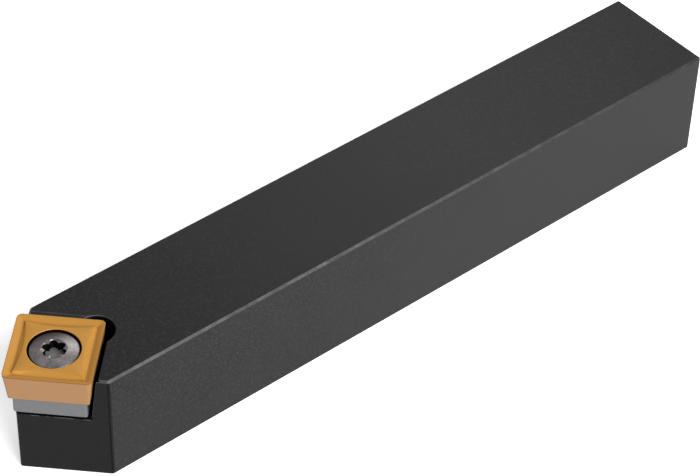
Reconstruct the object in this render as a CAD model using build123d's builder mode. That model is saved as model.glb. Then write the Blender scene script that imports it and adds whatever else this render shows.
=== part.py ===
from build123d import *
from math import radians, sqrt, tan
import os

# Neutral screw-clamp turning tool holder with a square insert.
# Frame: +X from the cutting tip to the rear end, +Z up, origin under the middle of the tool.
# All lengths are in millimetres, all angles in degrees.

# ---- driving dimensions: shank --------------------------------------------------------
tool_length = 127.0          # cutting tip to rear end
shank_width = 19.05
shank_height = 19.05
facet_angle = 45.0           # each front facet leans this much from the shank's sides
facet_setback = 1.34         # how far a facet stands back from the insert's cutting edge
shoulder_radius = 0.8        # upright edges between the facets and the sides
nose_radius = 0.3            # upright edge where the two facets meet
top_break = 0.33             # chamfer round the top face, the pocket and the corner hole
base_round = 0.45            # rounding of the front edges of the underside
base_break = 0.3             # chamfer of the rear end's edges
seat_break = 0.25            # chamfer on the front edges of the pocket floor, below nose_radius

# ---- driving dimensions: insert -------------------------------------------------------
insert_side = 12.7           # inscribed circle of the square
insert_thickness = 4.76
insert_corner = 0.8          # nose radius
clearance_angle = 7.0        # lean of the insert's flanks
edge_rise = 0.65             # cutting edges above the top of the shank
edge_land = 0.12             # flat land just inside the cutting edge
groove_depth = 0.3           # chip groove below the cutting edge
groove_inset = 1.15          # cutting edge to the bottom of the groove
groove_floor = 0.06          # width of the groove's flat bottom
groove_corner = 0.05         # corner radius at the bottom of the groove
plateau_drop = 0.05          # middle plateau below the cutting edge
plateau_tip_inset = 0.14     # groove bottom to the plateau's corner, along each side
plateau_waist = 0.6          # how far each side of the plateau is drawn in at its middle
insert_bore = 5.5
insert_bore_mouth = 7.7      # the hole's straight mouth above its conical seat
seat_angle = 60.0            # included angle of the insert screw's conical seat

# ---- driving dimensions: shim ---------------------------------------------------------
shim_thickness = 3.18
shim_inset = 0.47            # shim side inside the insert's lower edge
shim_corner = 0.4
shim_break = 0.15            # chamfer of the shim's upper and lower edges

# ---- driving dimensions: pocket -------------------------------------------------------
wall_gap = 0.45              # pocket wall to the insert's flank
bearing_height = 1.5         # height of the insert's flank that bears on a wall pad
bearing_length = 4.3
bearing_to_facet = 2.5       # end of a wall pad to the facet
corner_hole = 5.2            # clearance hole for the insert's inner corner
corner_hole_offset = 7.1     # insert centre to the middle of that hole

# ---- driving dimensions: shim screw (threaded sleeve) ---------------------------------
sleeve_thread = 7.0
sleeve_thread_clearance = 0.05
sleeve_head = 8.0
sleeve_head_drop = 0.3       # head below the top of the shim
sleeve_head_angle = 60.0     # included angle of the head's cone
sleeve_head_clearance = 0.01
sleeve_length = 9.4
sleeve_socket = 5.0          # across flats
sleeve_socket_depth = 2.0
shim_bore_clearance = 0.15   # shim hole over the sleeve's thread, on the radius
tapped_hole_spare = 0.8      # tapped hole below the end of the sleeve
drill_point_angle = 118.0

# ---- driving dimensions: insert screw -------------------------------------------------
screw_thread = 4.5
screw_thread_clearance = 0.05
screw_head = 7.12
screw_head_drop = 0.25       # head below the insert's plateau
screw_head_edge = 0.65       # straight side of the head
screw_head_break = 0.08
screw_seat_clearance = 0.02  # between the two cones, along the axis
screw_neck = 3.9
screw_neck_length = 2.3
screw_length = 12.4
screw_point = 0.4            # chamfer at the end of the thread
dish_diameter = 6.2          # shallow dish round the key socket
dish_depth = 0.15
key_socket = 3.35            # across the lobes
key_socket_waist = 2.42      # across the bulges between the lobes
key_bulge_radius = 0.5
key_lobe_round = 0.2
key_socket_depth = 1.4
key_point_angle = 120.0
key_mouth = 3.6              # chamfered mouth of the key socket

# ---- worked out from the above --------------------------------------------------------
cutting_height = shank_height + edge_rise
flank_slope = tan(radians(clearance_angle))
half_insert = insert_side / 2
insert_reach = half_insert * sqrt(2) - insert_corner * (sqrt(2) - 1)
insert_x = insert_reach - tool_length / 2
rear_x = tool_length / 2
insert_bottom = cutting_height - insert_thickness
pocket_floor = insert_bottom - shim_thickness
plateau_height = cutting_height - plateau_drop
facet_distance = half_insert - facet_setback
half_width = shank_width / 2
nose_x = insert_x - facet_distance * sqrt(2)
shoulder_x = nose_x + half_width * tan(radians(facet_angle))

# The ear beside the pocket: its width along the facet limits the roundings of its edges.
pocket_top = max(shank_height, cutting_height)
wall_distance = half_insert + wall_gap - (cutting_height - shank_height) * flank_slope
ear_width = half_width * sqrt(2) - facet_distance - wall_distance
shoulder_round = min(shoulder_radius, ear_width)
top_chamfer = min(top_break, ear_width / 3)

# Local frame of the insert: its X and Y run along the insert's sides.
insert_axes = Plane(origin=(insert_x, 0, 0), x_dir=(1, 1, 0), z_dir=(0, 0, 1))


def at_height(height):
    """The insert's own axes, moved up to a height above the underside of the shank."""
    return insert_axes.offset(height)


# ---- holder ---------------------------------------------------------------------------
with BuildPart() as holder:
    with BuildSketch(Plane.XY):
        with BuildLine():
            Polyline(
                (rear_x, half_width),
                (shoulder_x, half_width),
                (nose_x, 0),
                (shoulder_x, -half_width),
                (rear_x, -half_width),
                close=True,
            )
        make_face()
    extrude(amount=shank_height)
    upright = holder.edges().filter_by(Axis.Z).group_by(Axis.X)
    fillet(upright[0], nose_radius)
    upright = holder.edges().filter_by(Axis.Z).group_by(Axis.X)
    fillet(upright[-2], shoulder_round)

    # Pocket: the insert's own outline and lean, grown by the wall gap.
    pocket_depth = pocket_top - pocket_floor
    mouth_side = insert_side + 2 * (pocket_top - cutting_height) * flank_slope
    with BuildSketch(at_height(pocket_top)):
        Rectangle(mouth_side + 2 * wall_gap, mouth_side + 2 * wall_gap)
    extrude(amount=-pocket_depth, taper=clearance_angle, mode=Mode.SUBTRACT)

    # A raised pad on each wall bears against the insert's flank.
    pad_middle = facet_distance - bearing_to_facet - bearing_length / 2
    pad_thickness = 2 * wall_gap + pocket_depth * flank_slope
    pad_centre = mouth_side / 2 - pocket_depth * flank_slope / 2
    with BuildSketch(at_height(pocket_floor)):
        with Locations((pad_centre, pad_middle)):
            Rectangle(pad_thickness, bearing_length)
        with Locations((-pad_middle, -pad_centre)):
            Rectangle(bearing_length, pad_thickness)
    extrude(amount=shim_thickness + bearing_height)
    with BuildSketch(at_height(pocket_top)):
        Rectangle(mouth_side, mouth_side)
    extrude(amount=-pocket_depth, taper=clearance_angle, mode=Mode.SUBTRACT)

    # Clearance hole for the insert's inner corner, down to the pocket floor.
    with BuildSketch(Plane.XY.offset(pocket_floor)):
        with Locations((insert_x + corner_hole_offset, 0)):
            Circle(corner_hole / 2)
    extrude(amount=pocket_depth, mode=Mode.SUBTRACT)

    # Broken edges: the rear end, the top all round, the pocket floor's front, the underside.
    rear_end = holder.faces().sort_by(Axis.X)[-1].edges()
    chamfer(rear_end.sort_by(Axis.Z)[:-1], base_break)
    chamfer(holder.faces().sort_by(Axis.Z)[-1].edges(), top_chamfer)
    floor_face = holder.faces().filter_by(Plane.XY).group_by(Axis.Z)[1]
    chamfer([edge for edge in floor_face.edges() if edge.center().X < insert_x], seat_break)
    underside = holder.faces().sort_by(Axis.Z)[0].edges()
    fillet([edge for edge in underside if edge.center().X < shoulder_x + shoulder_round], base_round)

    # Tapped hole for the shim screw, ending in a drill point.
    tapped_radius = sleeve_thread / 2
    tapped_depth = sleeve_length - (shim_thickness - sleeve_head_drop) + tapped_hole_spare
    point_depth = tapped_radius / tan(radians(drill_point_angle / 2))
    with BuildSketch(Plane.XZ.shift_origin((insert_x, 0, pocket_floor))):
        with BuildLine():
            Polyline(
                (0, 0),
                (tapped_radius, 0),
                (tapped_radius, -tapped_depth),
                (0, -tapped_depth - point_depth),
                close=True,
            )
        make_face()
    revolve(axis=Axis((insert_x, 0, 0), (0, 0, 1)), mode=Mode.SUBTRACT)

holder.part.label = "holder"

# ---- shim -----------------------------------------------------------------------------
shim_side = insert_side - 2 * (insert_thickness * flank_slope + shim_inset)
sleeve_slope = tan(radians(sleeve_head_angle / 2))
sleeve_head_radius = sleeve_head / 2
sleeve_radius = sleeve_thread / 2 - sleeve_thread_clearance
sleeve_top = insert_bottom - sleeve_head_drop
shim_bore_radius = sleeve_radius + shim_bore_clearance
shim_mouth_radius = sleeve_head_radius + sleeve_head_clearance + sleeve_head_drop * sleeve_slope
shim_seat_depth = (shim_mouth_radius - shim_bore_radius) / sleeve_slope

with BuildPart() as shim:
    with BuildSketch(at_height(pocket_floor)):
        RectangleRounded(shim_side, shim_side, shim_corner)
    extrude(amount=shim_thickness)
    chamfer(shim.faces().filter_by(Plane.XY).edges(), shim_break)
    with BuildSketch(Plane.XZ.shift_origin((insert_x, 0, 0))):
        with BuildLine():
            Polyline(
                (0, pocket_floor),
                (shim_bore_radius, pocket_floor),
                (shim_bore_radius, insert_bottom - shim_seat_depth),
                (shim_mouth_radius, insert_bottom),
                (0, insert_bottom),
                close=True,
            )
        make_face()
    revolve(axis=Axis((insert_x, 0, 0), (0, 0, 1)), mode=Mode.SUBTRACT)

shim.part.label = "shim"

# ---- shim screw: a threaded sleeve with a hexagon socket ------------------------------
screw_bore_radius = screw_thread / 2
sleeve_cone = (sleeve_head_radius - sleeve_radius) / sleeve_slope
sleeve_end = sleeve_top - sleeve_length
sleeve_lead = 0.5            # chamfer at the end of the sleeve's thread

with BuildPart() as shim_screw:
    with BuildSketch(Plane.XZ.shift_origin((insert_x, 0, 0))):
        with BuildLine():
            Polyline(
                (screw_bore_radius, sleeve_end),
                (sleeve_radius - sleeve_lead, sleeve_end),
                (sleeve_radius, sleeve_end + sleeve_lead),
                (sleeve_radius, sleeve_top - sleeve_cone),
                (sleeve_head_radius, sleeve_top),
                (screw_bore_radius, sleeve_top),
                close=True,
            )
        make_face()
    revolve(axis=Axis((insert_x, 0, 0), (0, 0, 1)))
    with BuildSketch(Plane.XY.offset(sleeve_top)):
        with Locations((insert_x, 0)):
            RegularPolygon(sleeve_socket / 2, 6, major_radius=False)
    extrude(amount=-sleeve_socket_depth, mode=Mode.SUBTRACT)

shim_screw.part.label = "shim_screw"

# ---- insert ---------------------------------------------------------------------------
seat_slope = tan(radians(seat_angle / 2))
head_radius = screw_head / 2
head_top = plateau_height - screw_head_drop
cone_top = head_top - screw_head_edge
bore_radius = insert_bore / 2
mouth_radius = insert_bore_mouth / 2
seat_start = cone_top - (head_radius - bore_radius) / seat_slope
seat_end = cone_top + (mouth_radius - head_radius) / seat_slope
land_side = insert_side - 2 * edge_land
tray_side = insert_side - 2 * groove_inset
island_side = tray_side - 2 * groove_floor
plateau_tip = island_side / 2 - plateau_tip_inset
groove_height = cutting_height - groove_depth

with BuildPart() as insert:
    with BuildSketch(at_height(cutting_height)):
        RectangleRounded(insert_side, insert_side, insert_corner)
    extrude(amount=-insert_thickness, taper=clearance_angle)

    # Chip groove: a rake face falls from the edge land to the groove all round.
    with BuildSketch(at_height(cutting_height)):
        RectangleRounded(land_side, land_side, insert_corner - edge_land)
    with BuildSketch(at_height(groove_height)):
        RectangleRounded(tray_side, tray_side, groove_corner)
    loft(ruled=True, mode=Mode.SUBTRACT)

    # Plateau: a straight-sided foot that rises to a star with drawn-in sides.
    with BuildSketch(at_height(groove_height)):
        Rectangle(island_side, island_side)
    with BuildSketch(at_height(plateau_height)):
        with BuildLine():
            corners = [
                (-plateau_tip, -plateau_tip),
                (plateau_tip, -plateau_tip),
                (plateau_tip, plateau_tip),
                (-plateau_tip, plateau_tip),
            ]
            for start, end in zip(corners, corners[1:] + corners[:1]):
                SagittaArc(start, end, plateau_waist)
        make_face()
    loft(ruled=True)

    # Hole: straight mouth, conical seat for the screw's head, straight throat.
    with BuildSketch(Plane.XZ.shift_origin((insert_x, 0, 0))):
        with BuildLine():
            Polyline(
                (0, insert_bottom),
                (bore_radius, insert_bottom),
                (bore_radius, seat_start),
                (mouth_radius, seat_end),
                (mouth_radius, cutting_height),
                (0, cutting_height),
                close=True,
            )
        make_face()
    revolve(axis=Axis((insert_x, 0, 0), (0, 0, 1)), mode=Mode.SUBTRACT)

insert.part.label = "insert"

# ---- insert screw ---------------------------------------------------------------------
neck_radius = screw_neck / 2
thread_radius = screw_thread / 2 - screw_thread_clearance
cone_start = cone_top + screw_seat_clearance
cone_end = cone_start - (head_radius - thread_radius) / seat_slope
thread_start = cone_end - screw_neck_length
screw_end = head_top - screw_length
socket_floor = head_top - key_socket_depth
key_point = key_socket_waist / 2 / tan(radians(key_point_angle / 2))

with BuildPart() as insert_screw:
    with BuildSketch(Plane.XZ.shift_origin((insert_x, 0, 0))):
        with BuildLine():
            Polyline(
                (0, screw_end),
                (thread_radius - screw_point, screw_end),
                (thread_radius, screw_end + screw_point),
                (thread_radius, thread_start),
                (neck_radius, thread_start + thread_radius - neck_radius),
                (neck_radius, cone_end),
                (thread_radius, cone_end),
                (head_radius, cone_start),
                (head_radius, head_top - screw_head_break),
                (head_radius - screw_head_break, head_top),
                (dish_diameter / 2, head_top),
                (key_mouth / 2, head_top - dish_depth),
                (0, head_top - dish_depth),
                close=True,
            )
        make_face()
    revolve(axis=Axis((insert_x, 0, 0), (0, 0, 1)))

    # Six-lobed key socket with a drill point below it.
    with BuildSketch(Plane.XY.offset(socket_floor)) as key_outline:
        with Locations((insert_x, 0)):
            Circle(key_socket / 2)
            with PolarLocations(key_socket_waist / 2 + key_bulge_radius, 6, start_angle=30):
                Circle(key_bulge_radius, mode=Mode.SUBTRACT)
        fillet(key_outline.vertices(), key_lobe_round)
    extrude(amount=key_socket_depth, mode=Mode.SUBTRACT)
    with Locations((insert_x, 0, socket_floor - key_point / 2)):
        Cone(0, key_socket_waist / 2, key_point, mode=Mode.SUBTRACT)

insert_screw.part.label = "insert_screw"

# ---- export ---------------------------------------------------------------------------
os.makedirs("parts", exist_ok=True)
export_step(holder.part, "parts/holder.step")
export_step(shim.part, "parts/shim.step")
export_step(shim_screw.part, "parts/shim_screw.step")
export_step(insert.part, "parts/insert.step")
export_step(insert_screw.part, "parts/insert_screw.step")
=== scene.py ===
# %% [markdown]
# # A turning tool with a screw-clamped insert
# The tool is a square steel shank that carries a small gold-coated carbide insert at its tip.
# The insert lies on a carbide shim, and one screw with a six-lobed socket holds it down.
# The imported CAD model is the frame: it gives every size and place, and it moves the bodies.
# This script dresses it. The insert and its screw are modelled afresh around their solids,
# and the shank, the shim and the shim's screw keep their solids and get real finishes.

# %% Load the frame
from math import atan2, cos, pi, radians, sin, sqrt, tan

import bmesh
import bpy
from mathutils import Matrix, Vector


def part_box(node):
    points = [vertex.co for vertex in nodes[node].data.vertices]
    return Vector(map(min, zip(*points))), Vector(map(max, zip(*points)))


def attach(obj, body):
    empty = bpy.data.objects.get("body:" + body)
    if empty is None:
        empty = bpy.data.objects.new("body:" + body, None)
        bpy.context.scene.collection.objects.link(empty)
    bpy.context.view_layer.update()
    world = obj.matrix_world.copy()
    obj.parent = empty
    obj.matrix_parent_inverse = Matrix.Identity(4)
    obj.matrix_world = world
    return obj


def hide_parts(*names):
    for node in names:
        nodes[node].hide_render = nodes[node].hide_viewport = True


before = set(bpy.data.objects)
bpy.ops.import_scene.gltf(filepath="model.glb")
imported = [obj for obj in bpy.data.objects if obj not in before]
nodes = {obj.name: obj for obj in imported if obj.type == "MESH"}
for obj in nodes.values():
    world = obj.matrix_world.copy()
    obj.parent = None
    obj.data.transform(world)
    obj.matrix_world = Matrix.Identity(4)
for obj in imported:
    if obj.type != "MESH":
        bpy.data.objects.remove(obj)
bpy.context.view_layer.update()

mm = 0.001

# %% [markdown]
# ## Where things are
# The insert's box gives the axis of its screw and its top and bottom. Its top is a square
# that stands on one corner as seen along the shank, so the box is measured across corners:
# half of it is half a side times the root of two, less what the round corner takes away.

# %% Sizes taken from the frame
low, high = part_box("insert")
axis_x = (low[0] + high[0]) / 2
axis_y = (low[1] + high[1]) / 2
insert_bottom = low[2]
insert_top = high[2]
corner_radius = 0.8 * mm
half_side = ((high[0] - low[0]) / 2 + corner_radius * (sqrt(2) - 1)) / sqrt(2)
screw_low, screw_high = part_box("insert_screw")
head_radius = (screw_high[0] - screw_low[0]) / 2
head_top = screw_high[2]
screw_end = screw_low[2]
shank_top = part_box("holder")[1][2]
pocket_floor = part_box("shim")[0][2]
print("insert side", round(2 * half_side / mm, 2), "mm, head", round(2 * head_radius / mm, 2), "mm")

# %% [markdown]
# ## Camera
# A long lens from well above and in front of the cutting tip shows the tip large and the
# shank running away to the rear. The camera is set by where it stands, the way it looks as
# an azimuth and an elevation, and a small roll, which are easier to read than a matrix.

# %% Camera
camera_place = Vector((-190.701, -220.050, 279.576)) * mm
camera_azimuth = radians(-40.761)
camera_elevation = radians(42.880)
camera_roll = radians(1.769)
camera_lens = 134.248


def deselect_all():
    """Leaves edit mode and drops the selection, so that nothing else is changed."""
    if bpy.context.object and bpy.context.object.mode != "OBJECT":
        bpy.ops.object.mode_set(mode="OBJECT")
    bpy.ops.object.select_all(action="DESELECT")


def look(azimuth, elevation, roll):
    """The turn of a camera that looks back along the given direction."""
    back = Vector((
        sin(azimuth) * cos(elevation),
        -cos(azimuth) * cos(elevation),
        sin(elevation),
    ))
    level = Vector((cos(azimuth), sin(azimuth), 0))
    upward = back.cross(level)
    right = level * cos(roll) + upward * sin(roll)
    up = upward * cos(roll) - level * sin(roll)
    return Matrix((right, up, back)).transposed().to_quaternion()


deselect_all()
bpy.ops.object.camera_add(location=camera_place)
camera = bpy.context.object
camera.name = "camera"
camera.rotation_mode = "QUATERNION"
camera.rotation_quaternion = look(camera_azimuth, camera_elevation, camera_roll)
camera.data.lens = camera_lens
camera.data.sensor_width = 36
camera.data.clip_start = 0.01
camera.data.clip_end = 20
bpy.context.scene.camera = camera
print("camera at", [round(v, 3) for v in camera.location])

# %% [markdown]
# ## Light
# Black steel shows mostly what it reflects, so the light is planned as reflections. A large
# soft box in front and to the right of the tip lights the side and the near bevels. A weak
# one beyond the rear end is mirrored by the top face and keeps it readable, where a box
# straight overhead would grey it evenly. The room is a dim even grey.

# %% Soft boxes and room
target = Vector((axis_x, axis_y, insert_top))


def soft_box(name, azimuth, elevation, distance, width, height, power):
    """A rectangular area light that faces the tip of the tool from the given direction."""
    turn = look(radians(azimuth), radians(elevation), 0)
    place = target + turn @ Vector((0, 0, distance))
    deselect_all()
    bpy.ops.object.light_add(type="AREA", location=place)
    light = bpy.context.object
    light.name = name
    light.rotation_mode = "QUATERNION"
    light.rotation_quaternion = turn
    light.data.shape = "RECTANGLE"
    light.data.size = width
    light.data.size_y = height
    light.data.energy = power
    return light


soft_box("key_light", azimuth=5, elevation=33, distance=1.0, width=0.9, height=0.9, power=21)
soft_box("rear_light", azimuth=128, elevation=35, distance=1.1, width=0.5, height=0.4, power=2.2)

room = bpy.data.worlds.new("room")
bpy.context.scene.world = room
room.use_nodes = True
sky = room.node_tree.nodes["Background"]
sky.inputs["Color"].default_value = (1, 1, 1, 1)
sky.inputs["Strength"].default_value = 0.36
bpy.context.scene.view_settings.view_transform = "Standard"

# %% [markdown]
# ## Node helpers
# Every finish is a small tree of nodes. One helper adds a node and fills its sockets, where
# a value that is itself a socket is linked, so that a finish reads as a short recipe.

# %% Helpers for materials


def fill(tree, socket, value):
    """Links a socket to another one, or sets it to a plain value."""
    if isinstance(value, bpy.types.NodeSocket):
        tree.links.new(value, socket)
    else:
        socket.default_value = value


def add_node(tree, kind, sockets=None, **settings):
    """Adds a node, sets its options, and fills its sockets by name or number."""
    node = tree.nodes.new(kind)
    for key, value in settings.items():
        setattr(node, key, value)
    for key, value in (sockets or {}).items():
        fill(tree, node.inputs[key], value)
    return node


def new_finish(name):
    """A material with an empty tree, its shader and the point on the object."""
    material = bpy.data.materials.new(name)
    material.use_nodes = True
    tree = material.node_tree
    tree.nodes.clear()
    shader = add_node(tree, "ShaderNodeBsdfPrincipled")
    output = add_node(tree, "ShaderNodeOutputMaterial")
    tree.links.new(shader.outputs["BSDF"], output.inputs["Surface"])
    place = add_node(tree, "ShaderNodeTexCoord").outputs["Object"]
    return material, tree, shader, place


def noise(tree, place, size, detail=3.0, roughness=0.5):
    """Even noise whose blotches are about this many metres across."""
    node = add_node(tree, "ShaderNodeTexNoise", {
        "Vector": place, "Scale": 0.5 / size, "Detail": detail, "Roughness": roughness,
    })
    return node.outputs["Fac"]


def remap(tree, value, start, end, new_start=0.0, new_end=1.0):
    """Stretches a range of values to a new one and holds it at both ends."""
    node = add_node(tree, "ShaderNodeMapRange", {
        "Value": value, "From Min": start, "From Max": end,
        "To Min": new_start, "To Max": new_end,
    })
    return node.outputs["Result"]


def sum_of(tree, operation, first, second=0.0):
    """One sum on two values, such as their product or the greater one."""
    node = add_node(tree, "ShaderNodeMath", {0: first, 1: second}, operation=operation)
    return node.outputs["Value"]


def mix_colour(tree, factor, first, second):
    """Goes from the first colour to the second one."""
    node = add_node(tree, "ShaderNodeMix", data_type="RGBA")
    fill(tree, node.inputs[0], factor)
    fill(tree, node.inputs[6], first)
    fill(tree, node.inputs[7], second)
    return node.outputs[2]


def colour(red, green, blue):
    """A colour picked on a screen, as the linear values that a shader wants."""
    def linear(value):
        value = value / 255
        return value / 12.92 if value <= 0.04045 else ((value + 0.055) / 1.055) ** 2.4
    return (linear(red), linear(green), linear(blue), 1.0)


def edge_mask(tree, radius, start, end):
    """One near the edges of a piece and zero on its faces, from how far a rounded normal turns."""
    rounded = add_node(tree, "ShaderNodeBevel", {"Radius": radius}, samples=8).outputs["Normal"]
    flat = add_node(tree, "ShaderNodeNewGeometry").outputs["Normal"]
    turn = add_node(tree, "ShaderNodeVectorMath", {0: rounded, 1: flat}, operation="DOT_PRODUCT")
    return remap(tree, turn.outputs["Value"], start, end)


def bump(tree, height, depth, strength=1.0):
    """Turns a height between zero and one into a surface relief this deep."""
    node = add_node(tree, "ShaderNodeBump", {
        "Height": height, "Distance": depth, "Strength": strength,
    })
    return node.outputs["Normal"]


def dress(piece, material):
    """Gives every face of a piece the same finish."""
    piece.data.materials.clear()
    piece.data.materials.append(material)


print("helpers ready")

# %% [markdown]
# ## Floor
# A pale matt floor under the whole scene. It is part of the studio and not of the tool.
# Its finish has a faint mottle, like painted board. It is lit from within like a light
# table, since an unlit board would leave a heavy grey shadow behind the shank.

# %% Floor
floor_size = 6.0
deselect_all()
bpy.ops.mesh.primitive_plane_add(size=floor_size, location=(0, 0, 0))
floor = bpy.context.object
floor.name = "floor"
painted_board, tree, shader, place = new_finish("painted_board")
mottle = noise(tree, place, 0.08)
paint = mix_colour(tree, mottle, (0.90, 0.90, 0.90, 1), (0.94, 0.94, 0.94, 1))
fill(tree, shader.inputs["Base Color"], paint)
shader.inputs["Roughness"].default_value = 0.9
shader.inputs["Specular IOR Level"].default_value = 0.1
shader.inputs["Emission Color"].default_value = (1, 1, 1, 1)
shader.inputs["Emission Strength"].default_value = 0.45
dress(floor, painted_board)
print("floor", floor_size, "m wide")

# %% [markdown]
# ## Black steel of the shank
# The shank is steel with a thin black oxide skin over a finely blasted surface. It could be
# one dark colour, but the real skin has a fine grain that catches the light, broader cloudy
# patches where it is thicker, and rubbed edges where bare steel starts to show. The grain
# is a small noise that drives relief and roughness, the clouds are a large one, and the
# edges are found by comparing a rounded normal with the true one.
# Light and shade are also painted into zones of their own. Painted shade is near black in the
# pocket, in the corner hole and in a seam below the shim, and a painted dark reflection runs
# along the shoulder. Painted highlights brighten the chamfers, dashes under the seam and a band
# on the top behind the insert, on top of the real wear of the edges, and fade to the rear. A
# painted sheen lightens the side towards the rear and the middle of the top, and the front
# facets are painted darker and less glossy. These zones are worked out from the insert's own
# sides, since painted image maps would need unwrapping.

# %% Zones of the shank
corner_hole = (axis_x + 7.1 * mm, axis_y, 0)
corner_hole_radius = 2.85 * mm
seam_depth = 0.62 * mm
dash_depth = 0.78 * mm
band_width = 0.26 * mm


def product(tree, *factors):
    """All the factors multiplied: one only where every one of them is one."""
    result = factors[0]
    for factor in factors[1:]:
        result = sum_of(tree, "MULTIPLY", result, factor)
    return result


def above(tree, value, bound):
    """One where a value is greater than a bound."""
    return sum_of(tree, "GREATER_THAN", value, bound)


def below(tree, value, bound):
    """One where a value is less than a bound."""
    return sum_of(tree, "LESS_THAN", value, bound)


def between(tree, value, start, end):
    """One where a value lies between two bounds."""
    return product(tree, above(tree, value, start), below(tree, value, end))


def highest(tree, *values):
    """The greatest of the values."""
    result = values[0]
    for value in values[1:]:
        result = sum_of(tree, "MAXIMUM", result, value)
    return result


def insert_frame(tree, place):
    """Distances from the insert's middle along its sides: to the far, to the left, and up."""
    spot = add_node(tree, "ShaderNodeVectorMath", {
        0: place, 1: (axis_x, axis_y, 0),
    }, operation="SUBTRACT")
    turned = add_node(tree, "ShaderNodeVectorRotate", {
        "Vector": spot.outputs["Vector"], "Angle": -pi / 4,
    }, rotation_type="Z_AXIS")
    return add_node(tree, "ShaderNodeSeparateXYZ", {"Vector": turned.outputs["Vector"]}).outputs


def below_shim(tree, far, left):
    """One on the part of the front facets that lies below the shim, short of both ears."""
    short_of_ear = half_side - 0.5 * mm
    return product(tree, above(tree, left, -short_of_ear), below(tree, far, short_of_ear))


def painted_shade_zones(tree, place):
    """One where shade is painted near black: the pocket, the corner hole and the seam below the
    shim.
    """
    far, left, up = insert_frame(tree, place)
    facet = half_side - 1.45 * mm
    wall = half_side + 0.8 * mm
    on_right_wall = below(tree, left, -half_side - 0.1 * mm)
    rim = remap(tree, on_right_wall, 0, 1, shank_top - 0.3 * mm, shank_top - 0.05 * mm)
    pocket = product(
        tree,
        above(tree, far, -facet), below(tree, left, facet),
        below(tree, far, wall), above(tree, left, -wall),
        below(tree, up, rim),
    )
    level = add_node(tree, "ShaderNodeVectorMath", {0: place, 1: (1, 1, 0)}, operation="MULTIPLY")
    away = add_node(tree, "ShaderNodeVectorMath", {
        0: level.outputs["Vector"], 1: corner_hole,
    }, operation="DISTANCE").outputs["Value"]
    hole = product(
        tree, below(tree, away, corner_hole_radius), below(tree, up, shank_top - 0.12 * mm))
    seam = product(
        tree,
        between(tree, up, pocket_floor - seam_depth, pocket_floor + 0.05 * mm),
        below_shim(tree, far, left),
    )
    return highest(tree, pocket, hole, seam)


def seam_highlight(tree, place, blotches):
    """Painted highlight: broken bright dashes on the facets, just under the painted shade of the
    seam below the shim.
    """
    far, left, up = insert_frame(tree, place)
    return product(
        tree,
        between(tree, up, pocket_floor - dash_depth, pocket_floor - seam_depth),
        below_shim(tree, far, left),
        remap(tree, blotches, 0.46, 0.58, 0.0, 0.8),
    )


def band_highlight(tree, place, patches):
    """A painted highlight band on the top, along the pocket wall behind the insert."""
    far, left, up = insert_frame(tree, place)
    near_edge = remap(tree, left, -5 * mm, 6 * mm, half_side + 0.95 * mm, half_side + 1.15 * mm)
    return product(
        tree,
        between(tree, sum_of(tree, "SUBTRACT", far, near_edge), 0.0, band_width),
        above(tree, left, -4.4 * mm),
        above(tree, up, shank_top - 0.3 * mm),
        remap(tree, patches, 0.0, 1.0, 0.15, 0.8),
    )


def on_facets(tree, place):
    """One on the two front facets, which are painted darker and less glossy as shade."""
    far, left, up = insert_frame(tree, place)
    front = highest(tree, product(tree, far, -1.0), left)
    return above(tree, front, half_side - 1.4 * mm)


def facing(tree, direction, start, end):
    """One where the surface faces close to a direction."""
    flat = add_node(tree, "ShaderNodeNewGeometry").outputs["True Normal"]
    turn = add_node(tree, "ShaderNodeVectorMath", {0: flat, 1: direction}, operation="DOT_PRODUCT")
    return remap(tree, turn.outputs["Value"], start, end)


def chamfers(tree):
    """One on the chamfers that slope upwards at 45 degrees."""
    flat = add_node(tree, "ShaderNodeNewGeometry").outputs["True Normal"]
    up = add_node(tree, "ShaderNodeSeparateXYZ", {"Vector": flat}).outputs["Z"]
    return between(tree, up, 0.4, 0.93)


def swell(tree, along, foot, crest, end, low, high, last):
    """Grows along the shank from its foot to its crest, then fades to its end."""
    rising = remap(tree, along, axis_x + foot, axis_x + crest, low, high)
    falling = remap(tree, along, axis_x + crest, axis_x + end, high, last)
    return sum_of(tree, "MINIMUM", rising, falling)


print("pocket floor at", round(pocket_floor / mm, 2), "mm")

# %% Finish: black_oxide
black_oxide, tree, shader, place = new_finish("black_oxide")
grain = noise(tree, place, 0.2 * mm, detail=2.0, roughness=0.6)
clouds = noise(tree, place, 7 * mm, detail=4.0)
blotches = noise(tree, place, 0.9 * mm, detail=4.0, roughness=0.65)
patches = remap(tree, blotches, 0.35, 0.65)
along = add_node(tree, "ShaderNodeSeparateXYZ", {"Vector": place}).outputs["X"]
facets = on_facets(tree, place)
on_side = facing(tree, (0.0, -1.0, 0.0), 0.97, 0.99)
on_top = facing(tree, (0.0, 0.0, 1.0), 0.97, 0.99)
# Painted reflection: a dark strip on the facet beside the shoulder edge.
shoulder_dark_reflection = facing(tree, (-0.383, -0.924, 0.0), 0.93, 0.975)

thin_skin = (0.0075, 0.0075, 0.0078, 1)
thick_skin = (0.0098, 0.0096, 0.0098, 1)
grain_tips = (0.021, 0.021, 0.0214, 1)
facet_painted_shade = (0.0035, 0.0035, 0.0036, 1)
violet_skin = (0.0068, 0.0044, 0.0062, 1)
painted_sheen_skin = (0.022, 0.022, 0.022, 1)
bare_steel_and_highlight = (0.08, 0.078, 0.079, 1)
# Painted shade: the near black of the shaded zones and the shoulder strip.
painted_shade_black = (0.0012, 0.0012, 0.0012, 1)

skin_colour = mix_colour(tree, remap(tree, clouds, 0.35, 0.65), thin_skin, thick_skin)
skin_colour = mix_colour(tree, remap(tree, grain, 0.48, 0.72), skin_colour, grain_tips)
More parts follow.
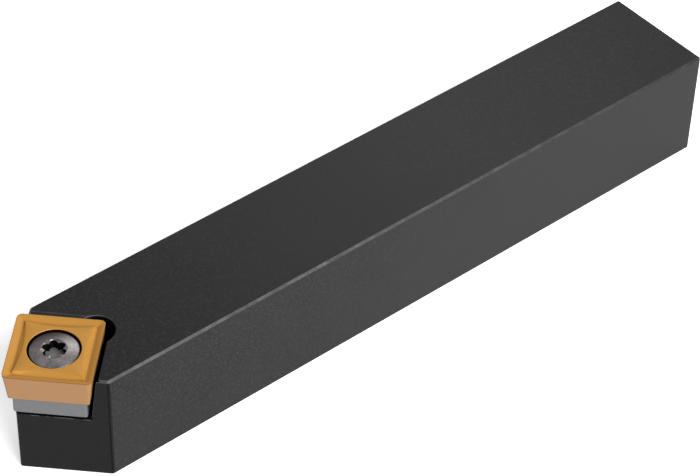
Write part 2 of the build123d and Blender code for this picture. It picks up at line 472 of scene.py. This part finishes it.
# Painted shade: the front facets are darkened.
skin_colour = mix_colour(tree, product(tree, facets, 0.75), skin_colour, facet_painted_shade)
rear = remap(tree, along, axis_x + 60 * mm, axis_x + 112 * mm, 0.0, 0.6)
skin_colour = mix_colour(tree, rear, skin_colour, violet_skin)
# Painted sheen: the side lightens towards the rear, and the top in its middle.
side = product(tree, on_side, remap(tree, along, axis_x + 20 * mm, axis_x + 90 * mm, 0.0, 0.55))
top_painted_sheen = product(tree, on_top, swell(tree, along, 12 * mm, 75 * mm, 118 * mm, 0.0, 0.7, 0.05))
skin_colour = mix_colour(tree, highest(tree, side, top_painted_sheen), skin_colour, painted_sheen_skin)

edges = edge_mask(tree, 0.22 * mm, 0.985, 0.85)
# Real wear on the edges, with painted highlights on the chamfers, in dashes under the seam and in a
# band behind the insert.
wear_and_highlight = highest(
    tree,
    product(tree, edges, remap(tree, patches, 0.0, 1.0, 0.1, 0.5)),
    product(tree, chamfers(tree), remap(tree, patches, 0.0, 1.0, 0.35, 0.85)),
    seam_highlight(tree, place, blotches),
    band_highlight(tree, place, patches),
)
# The wear and the painted highlights fade towards the rear.
wear_and_highlight = product(tree, wear_and_highlight, swell(tree, along, -10 * mm, 40 * mm, 115 * mm, 0.7, 0.98, 0.35))
skin_colour = mix_colour(tree, wear_and_highlight, skin_colour, bare_steel_and_highlight)
# Painted shade in the pocket, the corner hole and the seam, and a painted dark reflection on the
# shoulder.
shade = highest(tree, painted_shade_zones(tree, place), product(tree, shoulder_dark_reflection, 0.55))
unshaded = sum_of(tree, "SUBTRACT", 1.0, shade)
gloss = product(
    tree,
    remap(tree, facets, 0.0, 1.0, 0.155, 0.08),
    remap(tree, on_side, 0.0, 1.0, 1.0, 0.72),
    remap(tree, shade, 0.0, 1.0, 1.0, 0.06),
)
fill(tree, shader.inputs["Base Color"], mix_colour(tree, shade, skin_colour, painted_shade_black))
fill(tree, shader.inputs["Roughness"], remap(tree, grain, 0.3, 0.7, 0.42, 0.54))
fill(tree, shader.inputs["Metallic"], product(tree, wear_and_highlight, 0.5, unshaded))
fill(tree, shader.inputs["Specular IOR Level"], gloss)
fill(tree, shader.inputs["Normal"], bump(tree, grain, 0.015 * mm))
dress(nodes["holder"], black_oxide)
print("finish:", black_oxide.name)

# %% [markdown]
# ## Bare carbide of the shim
# The shim is ground carbide with no coating: a cool mid grey that scatters light evenly,
# with the fine grain that grinding leaves and slightly brighter edges. A brushed look with
# long marks would need a direction for each face, and these faces are too small to show it.

# %% Finish: ground_carbide
ground_carbide, tree, shader, place = new_finish("ground_carbide")
grain = noise(tree, place, 0.12 * mm, detail=2.0)
clouds = noise(tree, place, 2.5 * mm)
grey = mix_colour(tree, clouds, colour(85, 86, 88), colour(93, 94, 96))
grey = mix_colour(tree, remap(tree, grain, 0.5, 0.8), grey, colour(100, 101, 103))
edges = edge_mask(tree, 0.12 * mm, 0.99, 0.85)
fill(tree, shader.inputs["Base Color"], mix_colour(tree, edges, grey, colour(128, 128, 129)))
shader.inputs["Metallic"].default_value = 0.4
fill(tree, shader.inputs["Roughness"], remap(tree, grain, 0.3, 0.7, 0.42, 0.55))
fill(tree, shader.inputs["Normal"], bump(tree, grain, 0.004 * mm))
dress(nodes["shim"], ground_carbide)
print("finish:", ground_carbide.name)

# %% [markdown]
# ## Steel of the shim's screw
# The threaded sleeve that holds the shim is hardened steel with a thin brown-black temper
# skin. It only shows when the insert is lifted.

# %% Finish: tempered_steel
tempered_steel, tree, shader, place = new_finish("tempered_steel")
grain = noise(tree, place, 0.15 * mm, detail=3.0)
clouds = noise(tree, place, 1.5 * mm)
steel = mix_colour(tree, clouds, colour(84, 80, 78), colour(112, 108, 106))
edges = edge_mask(tree, 0.12 * mm, 0.985, 0.85)
fill(tree, shader.inputs["Base Color"], mix_colour(tree, edges, steel, colour(160, 157, 154)))
shader.inputs["Metallic"].default_value = 0.85
fill(tree, shader.inputs["Roughness"], remap(tree, grain, 0.3, 0.7, 0.32, 0.5))
fill(tree, shader.inputs["Normal"], bump(tree, grain, 0.003 * mm))
dress(nodes["shim_screw"], tempered_steel)
print("finish:", tempered_steel.name)

# %% [markdown]
# ## Rings and skins
# Both new pieces have round holes in the middle and a profile that goes right round, so
# they are skinned: a row of closed rings is placed along the profile, each with the same
# number of points, and neighbouring rings are bridged. A revolve could only make the screw,
# and insets would cross at the insert's small corners, but rings can change from square to
# star to round on the way. Each ring keeps a vertex group, so that pairs are easy to pick.
# The rings are drawn about the origin with a millimetre as long as a metre, because many
# tools misjudge points that are a few thousandths of a millimetre apart. The finished piece
# is shrunk and moved to its axis.

# %% Helpers for rings
corner_steps = 6
side_cuts = 23


def activate(piece):
    """Makes a piece the only selected one."""
    deselect_all()
    piece.select_set(True)
    bpy.context.view_layer.objects.active = piece


def settle(ring):
    """Puts the place of a fresh ring into its points."""
    bpy.ops.object.mode_set(mode="OBJECT")
    bpy.ops.object.transform_apply(location=True, rotation=True, scale=True)
    return ring


def square_ring(half, corner, height, drawn_in=0.0):
    """A square with round corners that stands on one corner. Its sides may be drawn in."""
    deselect_all()
    bpy.ops.mesh.primitive_circle_add(
        vertices=4, radius=half * sqrt(2), fill_type="NGON", location=(0, 0, height)
    )
    ring = settle(bpy.context.object)
    bpy.ops.object.mode_set(mode="EDIT")
    bpy.ops.mesh.select_all(action="SELECT")
    bpy.ops.mesh.bevel(offset=corner, segments=corner_steps, affect="VERTICES")
    mesh = bmesh.from_edit_mesh(ring.data)
    for edge in mesh.edges:
        edge.select_set(edge.calc_length() > half)
    bpy.ops.mesh.subdivide(number_cuts=side_cuts)
    bpy.ops.mesh.select_all(action="SELECT")
    bpy.ops.mesh.delete(type="ONLY_FACE")
    if drawn_in:
        draw_sides_in(ring, half, drawn_in)
    return settle(ring)


def draw_sides_in(ring, half, depth):
    """Pulls the middle of each side inwards, and the rest of the side follows in a bow."""
    for quarter in range(4):
        angle = pi / 4 + quarter * pi / 2
        outward = Vector((cos(angle), sin(angle), 0))
        bpy.ops.mesh.select_all(action="DESELECT")
        mesh = bmesh.from_edit_mesh(ring.data)
        middle = outward * half
        nearest = min(mesh.verts, key=lambda point: (point.co.xy - middle.xy).length)
        nearest.select_set(True)
        mesh.select_flush_mode()
        bpy.ops.transform.translate(
            value=outward * -depth,
            use_proportional_edit=True,
            proportional_edit_falloff="INVERSE_SQUARE",
            proportional_size=half,
        )


def round_ring(radius, height):
    """A circle whose points stand at the same angles as those of the square rings."""
    ring = square_ring(half_side / mm, corner_radius / mm, height)
    bpy.ops.object.mode_set(mode="EDIT")
    bpy.ops.mesh.select_all(action="SELECT")
    bpy.ops.transform.tosphere(value=1.0)
    mesh = bmesh.from_edit_mesh(ring.data)
    factor = radius / max(point.co.x for point in mesh.verts)
    bpy.ops.transform.resize(value=(factor, factor, 1), center_override=(0, 0, height))
    return settle(ring)


def pick_ring(number):
    """Adds a ring's points to the selection."""
    bpy.ops.object.vertex_group_set_active(group=f"ring_{number}")
    bpy.ops.object.vertex_group_select()


def skin(name, rings, closed=True):
    """Joins the rings into one piece and bridges each one with the next."""
    for number, ring in enumerate(rings):
        group = ring.vertex_groups.new(name=f"ring_{number}")
        group.add(list(range(len(ring.data.vertices))), 1.0, "REPLACE")
    activate(rings[0])
    for ring in rings:
        ring.select_set(True)
    count = len(rings)
    bpy.ops.object.join()
    piece = bpy.context.object
    piece.name = name
    piece.data.name = name
    bpy.ops.object.mode_set(mode="EDIT")
    pairs = [(number, number + 1) for number in range(count - 1)]
    if closed:
        pairs.append((count - 1, 0))
    for first, second in pairs:
        bpy.ops.mesh.select_all(action="DESELECT")
        pick_ring(first)
        pick_ring(second)
        bpy.ops.mesh.bridge_edge_loops()
    if not closed:
        for number in (0, count - 1):
            bpy.ops.mesh.select_all(action="DESELECT")
            pick_ring(number)
            bpy.ops.mesh.edge_face_add()
    bpy.ops.mesh.select_all(action="SELECT")
    bpy.ops.mesh.normals_make_consistent(inside=False)
    bpy.ops.object.mode_set(mode="OBJECT")
    return piece


def put_in_place(piece):
    """Shrinks a finished piece to metres and moves it to the insert's axis."""
    activate(piece)
    bpy.ops.transform.resize(value=(mm, mm, mm), center_override=(0, 0, 0))
    bpy.ops.transform.translate(value=(axis_x, axis_y, 0))
    bpy.ops.object.transform_apply(location=True, rotation=True, scale=True)


def report(piece):
    """Prints how large a piece is and whether its mesh is closed."""
    mesh = bmesh.new()
    mesh.from_mesh(piece.data)
    open_edges = sum(not edge.is_manifold for edge in mesh.edges)
    print(piece.name, len(mesh.faces), "faces,", open_edges, "open edges, volume",
          round(mesh.calc_volume(signed=True), 1), "mm3")
    mesh.free()


print("rings of", 4 * (corner_steps + 1 + side_cuts), "points")

# %% [markdown]
# ## The insert
# The insert is pressed and sintered carbide, so its top is a moulded relief that breaks the
# chips: a narrow land inside the cutting edge, a rake face that falls to a groove, and a
# star-shaped plateau whose sides are drawn in. Its flanks lean inwards by seven degrees.
# The cutting edges are honed round, and every moulded edge is soft. The hole has a straight
# mouth and a cone that the screw's head pulls down on. The rings run from the lower edge up
# the flank, over the edge, down into the groove, up to the plateau and down the hole.
# From here to the finished mesh, lengths are in millimetres.

# %% Rings of the insert
top = insert_top / mm
bottom = insert_bottom / mm
clearance = tan(radians(7))
groove_depth = 0.45
plateau = top - 0.05
plateau_waist = 0.6
plateau_tip = 5.02
hone = 0.05
land = 0.14
lower_break = 0.05
mouth_break = 0.06
bore_radius = 2.75
mouth_radius = 3.85
seat_end = 19.252
seat_start = seat_end - (mouth_radius - bore_radius) / tan(radians(30))


def flank_ring(below, inwards=0.0):
    """A ring on the flank at a depth below the cutting edge, or just inside the flank."""
    lean = below * clearance + inwards
    return square_ring(half_side / mm - lean, max(corner_radius / mm - lean, 0.1), top - below)


thickness = top - bottom
insert_rings = [
    flank_ring(thickness, lower_break),
    flank_ring(thickness - lower_break),
    flank_ring(0.24),
    flank_ring(0.17),
    flank_ring(hone),
    flank_ring(hone * 0.3, hone * 0.3),
    flank_ring(0, hone),
    flank_ring(0, land),
    square_ring(5.46, 0.2, top - 0.36),
    square_ring(5.32, 0.1, top - 0.42),
    square_ring(5.2, 0.06, top - groove_depth),
    square_ring(5.13, 0.05, top - groove_depth * 0.97),
    square_ring(plateau_tip + 0.02, 0.05, plateau - 0.05, plateau_waist * 0.96),
    square_ring(plateau_tip - 0.03, 0.06, plateau - 0.012, plateau_waist),
    square_ring(plateau_tip - 0.09, 0.08, plateau, plateau_waist),
    round_ring(mouth_radius + mouth_break, plateau),
    round_ring(mouth_radius, plateau - mouth_break),
    round_ring(mouth_radius, seat_end),
    round_ring(bore_radius, seat_start),
    round_ring(bore_radius, bottom + 0.1),
    round_ring(bore_radius + 0.1, bottom),
]
print(len(insert_rings), "rings")

# %% Skin of the insert
cutting_insert = skin("cutting_insert", insert_rings)
report(cutting_insert)
put_in_place(cutting_insert)
bpy.ops.object.shade_smooth_by_angle(angle=radians(28))

# %% [markdown]
# ## Gold coating
# The coating is a few thousandths of a millimetre of nitride on carbide: a warm tan gold
# that is satin rather than shiny, because the pressed surface under it is finely grained.
# The honed edge is painted darker, as a dark reflection along its rounding, so its rings leave
# an attribute that the finish reads. The hole's wall and the flanks are marked in the same way,
# and the hole's wall is painted near black as shade.

# %% Mark the hole, the flanks and the honed edge
def mark_faces(piece, name, rule):
    """Writes one on the faces that a rule picks by distance from the axis, height and slope."""
    values = piece.data.attributes.new(name, "FLOAT", "FACE")
    for face in piece.data.polygons:
        distance = ((face.center.x - axis_x) ** 2 + (face.center.y - axis_y) ** 2) ** 0.5
        values.data[face.index].value = float(rule(distance / mm, face.center.z / mm, face.normal.z))
    return sum(item.value for item in values.data)


print("faces in the hole:", mark_faces(
    cutting_insert, "hole_wall", lambda distance, height, slope: distance < mouth_radius + 0.02))
print("faces on the flanks:", mark_faces(
    cutting_insert, "flank", lambda distance, height, slope: distance > 5.5 and -0.5 < slope < 0.05))
honed_rings = {"ring_3": 1.0, "ring_4": 1.0, "ring_5": 1.0, "ring_6": 0.4}
honed = cutting_insert.data.attributes.new("honed", "FLOAT", "POINT")
index_of = {group.index: group.name for group in cutting_insert.vertex_groups}
for point in cutting_insert.data.vertices:
    ring_name = index_of[point.groups[0].group]
    honed.data[point.index].value = honed_rings.get(ring_name, 0.0)
print("honed points:", sum(item.value > 0 for item in honed.data))

# %% Finish: satin_gold
satin_gold, tree, shader, place = new_finish("satin_gold")
grain = noise(tree, place, 0.09 * mm, detail=2.0, roughness=0.6)
clouds = noise(tree, place, 2.2 * mm, detail=3.0)
gold = mix_colour(tree, clouds, colour(168, 118, 44), colour(175, 125, 51))
gold = mix_colour(tree, remap(tree, grain, 0.6, 0.85), gold, colour(184, 136, 62))
honed_dark_reflection = add_node(tree, "ShaderNodeAttribute", attribute_name="honed").outputs["Fac"]
flank = add_node(tree, "ShaderNodeAttribute", attribute_name="flank").outputs["Fac"]
gold = mix_colour(tree, flank, gold, colour(136, 99, 59))
# Painted reflection: the honed edge is darker.
gold = mix_colour(tree, honed_dark_reflection, gold, colour(118, 70, 22))
# Painted shade: the hole's wall is near black and dull.
hole = add_node(tree, "ShaderNodeAttribute", attribute_name="hole_wall").outputs["Fac"]
fill(tree, shader.inputs["Base Color"], mix_colour(tree, hole, gold, (0.003, 0.002, 0.0015, 1)))
shader.inputs["Metallic"].default_value = 0.2
fill(tree, shader.inputs["Roughness"], remap(tree, grain, 0.3, 0.7, 0.44, 0.56))
fill(tree, shader.inputs["Specular IOR Level"], remap(tree, hole, 0.0, 1.0, 0.35, 0.02))
fill(tree, shader.inputs["Normal"], bump(tree, grain, 0.003 * mm))
dress(cutting_insert, satin_gold)
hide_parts("insert")
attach(cutting_insert, "insert")
print("finish:", satin_gold.name)

# %% [markdown]
# ## The insert screw
# The head is slightly domed, with a six-lobed socket in it and a cone below that seats in
# the insert. A plain neck leads to an M4.5 thread with a pitch of 0.75 mm, which turns in
# the sleeve. The body is skinned from rings, where the socket's rings are circles whose
# points are drawn in towards the axis. The thread is one tooth swept by a Screw modifier,
# trimmed by a blank and then united with the body: a stack of discs would be no helix.

# %% Rings of the screw
key_radius = 1.78
key_waist = 2.5 / 2
lobe_fullness = 0.4
key_depth = 1.4
key_mouth = 1.87
dome_top = insert_top / mm + 0.1
dome_fall = 0.034
head = head_radius / mm
head_face = head_top / mm
neck_radius = 1.95
thread_radius = 2.2
core_radius = 1.75
screw_points = 144
crown_radii = (key_mouth, 2.05, 2.4, 2.8, 3.15, 3.42)
rim_radius = 3.5
cone_top = head_face - 0.63
cone_end = cone_top - (head - thread_radius) / tan(radians(30))
thread_start = cone_end - 2.3
screw_tip = screw_end / mm
lead = 0.4


def turned_ring(radius, height):
    """A circle with the screw's number of points."""
    deselect_all()
    bpy.ops.mesh.primitive_circle_add(vertices=screw_points, radius=radius, location=(0, 0, height))
    return settle(bpy.context.object)


def socket_radius(angle):
    """Distance from the axis to the socket's wall: six full lobes with narrow ribs between."""
    swing = 0.5 + 0.5 * cos(6 * angle)
    return key_waist + (key_radius - key_waist) * swing ** lobe_fullness


def socket_ring(height, spread=0.0):
    """A six-lobed ring: each set of matching points is scaled towards the axis together."""
    ring = turned_ring(key_radius, height)
    bpy.ops.object.mode_set(mode="EDIT")
    sixth = pi / 3
    for step in range(screw_points // 12 + 1):
        wanted = step * 2 * pi / screw_points
        mesh = bmesh.from_edit_mesh(ring.data)
        for point in mesh.verts:
            angle = atan2(point.co.y, point.co.x) % sixth
            point.select_set(abs(min(angle, sixth - angle) - wanted) < 0.01)
        mesh.select_flush_mode()
        factor = (socket_radius(wanted) + spread) / key_radius
        bpy.ops.transform.resize(value=(factor, factor, 1), center_override=(0, 0, height))
    return settle(ring)


def dome(radius):
    """Height of the domed head at a distance from the axis."""
    return dome_top - dome_fall * radius ** 2


socket_floor = head_face - key_depth + 0.1
screw_rings = [
    turned_ring(0.05, socket_floor - 0.3),
    turned_ring(key_waist - 0.04, socket_floor),
    socket_ring(socket_floor),
    socket_ring(dome(key_mouth) - 0.14),
    *[turned_ring(radius, dome(radius)) for radius in crown_radii],
    turned_ring(head - 0.06, dome(rim_radius) - 0.01),
    turned_ring(head - 0.015, dome(rim_radius) - 0.05),
    turned_ring(head, dome(rim_radius) - 0.1),
    turned_ring(head, cone_top),
    turned_ring(thread_radius, cone_end),
    turned_ring(neck_radius + 0.1, cone_end - 0.04),
    turned_ring(neck_radius, cone_end - 0.14),
    turned_ring(neck_radius, thread_start + 0.25),
    turned_ring(core_radius, thread_start - 0.05),
    turned_ring(core_radius, screw_tip + 0.05),
    turned_ring(core_radius - 0.05, screw_tip),
]
clamp_screw = skin("clamp_screw", screw_rings, closed=False)
report(clamp_screw)

# %% [markdown]
# ## Thread of the insert screw
# One tooth is drawn as a line of points with the proportions of a metric thread: flat
# crest, 60 degree flanks and a wider root. The Screw modifier winds it up, a blank with a
# chamfer at each end trims it by an intersection, and a union puts it on the core.

# %% Thread
pitch = 0.75
steps_per_turn = 48
root = core_radius - 0.03
turns = int((thread_start - screw_tip) / pitch) + 3
tooth = [
    (root, 0.0), (root, 0.22), (thread_radius, 0.47),
    (thread_radius, 0.63), (root, 0.88), (root, 1.0),
]

deselect_all()
bpy.ops.mesh.primitive_circle_add(vertices=len(tooth), radius=1)
thread = bpy.context.object
thread.name = "thread"
bpy.ops.object.mode_set(mode="EDIT")
mesh = bmesh.from_edit_mesh(thread.data)
mesh.verts.ensure_lookup_table()
for point, (radius, along) in zip(mesh.verts, tooth):
    point.co = (radius, 0, screw_tip + (along - 1.5) * pitch)
mesh.edges.remove(mesh.edges.get((mesh.verts[0], mesh.verts[len(tooth) - 1])))
bmesh.update_edit_mesh(thread.data)
bpy.ops.object.mode_set(mode="OBJECT")
winding = thread.modifiers.new("winding", "SCREW")
winding.angle = 2 * pi
winding.screw_offset = pitch
winding.iterations = turns
winding.steps = steps_per_turn
winding.render_steps = steps_per_turn
bpy.ops.object.modifier_apply(modifier=winding.name)
print("thread of", turns, "turns,", len(thread.data.polygons), "faces")

# %% Weld the turns and close the ends
bpy.ops.object.mode_set(mode="EDIT")
bpy.ops.mesh.select_all(action="SELECT")
bpy.ops.mesh.remove_doubles(threshold=0.001)
for height, upper in ((thread_start + 0.3, True), (screw_tip - 0.3, False)):
    bpy.ops.mesh.select_all(action="SELECT")
    bpy.ops.mesh.bisect(
        plane_co=(0, 0, height), plane_no=(0, 0, 1),
        use_fill=True, clear_outer=upper, clear_inner=not upper,
    )
bpy.ops.mesh.select_all(action="SELECT")
bpy.ops.mesh.normals_make_consistent(inside=False)
bpy.ops.object.mode_set(mode="OBJECT")
report(thread)

# %% Trim the thread and unite it with the body
blank = skin("blank", [
    turned_ring(root - 0.2, thread_start + 0.2),
    turned_ring(root, thread_start + 0.2),
    turned_ring(thread_radius - 0.001, thread_start),
    turned_ring(thread_radius - 0.001, screw_tip + lead),
    turned_ring(thread_radius - lead, screw_tip),
    turned_ring(root - lead - 0.2, screw_tip),
], closed=False)


def combine(piece, other, operation):
    """Trims or unites a piece with another one, which is then removed."""
    activate(piece)
    step = piece.modifiers.new(operation.lower(), "BOOLEAN")
    step.operation = operation
    step.object = other
    step.solver = "EXACT"
    bpy.ops.object.modifier_apply(modifier=step.name)
    bpy.data.objects.remove(other)


combine(thread, blank, "INTERSECT")
report(thread)
combine(clamp_screw, thread, "UNION")
report(clamp_screw)
put_in_place(clamp_screw)
bpy.ops.object.shade_smooth_by_angle(angle=radians(30))

# %% [markdown]
# ## Steel of the insert screw
# The screw is hardened and then barrelled, which leaves a dark grey skin with a faint
# violet temper tint, cloudy patches and brighter edges round the rim and the socket. The far
# side of the head is painted darker as shade. The socket's wall is painted black as shade and
# its floor is painted lighter, as light that reaches it, so those faces are marked first.

# %% Finish: violet_steel
print("faces of the socket's wall:", mark_faces(
    clamp_screw, "socket_wall", lambda distance, height, slope:
        distance < key_radius + 0.02 and height < dome(key_mouth) - 0.15 and abs(slope) < 0.3))
print("faces of its floor:", mark_faces(
    clamp_screw, "socket_floor", lambda distance, height, slope:
        distance < key_radius and abs(height - socket_floor) < 0.35 and slope > 0.3))
violet_steel, tree, shader, place = new_finish("violet_steel")
grain = noise(tree, place, 0.16 * mm, detail=4.0, roughness=0.65)
clouds = noise(tree, place, 0.9 * mm, detail=4.0, roughness=0.6)
steel = mix_colour(tree, remap(tree, clouds, 0.3, 0.7), colour(104, 98, 98), colour(142, 135, 136))
steel = mix_colour(tree, remap(tree, grain, 0.5, 0.8), steel, colour(164, 157, 158))
far, left, up = insert_frame(tree, place)
behind = sum_of(tree, "SUBTRACT", far, product(tree, left, -0.3))
# Painted shade: the far side of the head is darkened.
far_side_painted_shade = remap(tree, behind, 0.3 * mm, 3.0 * mm, 0.0, 0.8)
steel = mix_colour(tree, far_side_painted_shade, steel, colour(52, 41, 40))
edges = edge_mask(tree, 0.1 * mm, 0.98, 0.8)
steel = mix_colour(tree, edges, steel, colour(165, 160, 160))
# Painted light: the socket's floor is lighter.
bottom = add_node(tree, "ShaderNodeAttribute", attribute_name="socket_floor").outputs["Fac"]
steel = mix_colour(tree, bottom, steel, colour(168, 163, 164))
# Painted shade: the socket's wall is near black and dull.
wall = add_node(tree, "ShaderNodeAttribute", attribute_name="socket_wall").outputs["Fac"]
fill(tree, shader.inputs["Base Color"], mix_colour(tree, wall, steel, (0.002, 0.002, 0.002, 1)))
fill(tree, shader.inputs["Metallic"], remap(tree, wall, 0.0, 1.0, 0.7, 0.0))
fill(tree, shader.inputs["Specular IOR Level"], remap(tree, wall, 0.0, 1.0, 0.5, 0.02))
fill(tree, shader.inputs["Roughness"], remap(tree, clouds, 0.3, 0.7, 0.28, 0.4))
fill(tree, shader.inputs["Normal"], bump(tree, grain, 0.005 * mm))
dress(clamp_screw, violet_steel)
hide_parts("insert_screw")
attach(clamp_screw, "insert_screw")
print("finish:", violet_steel.name)
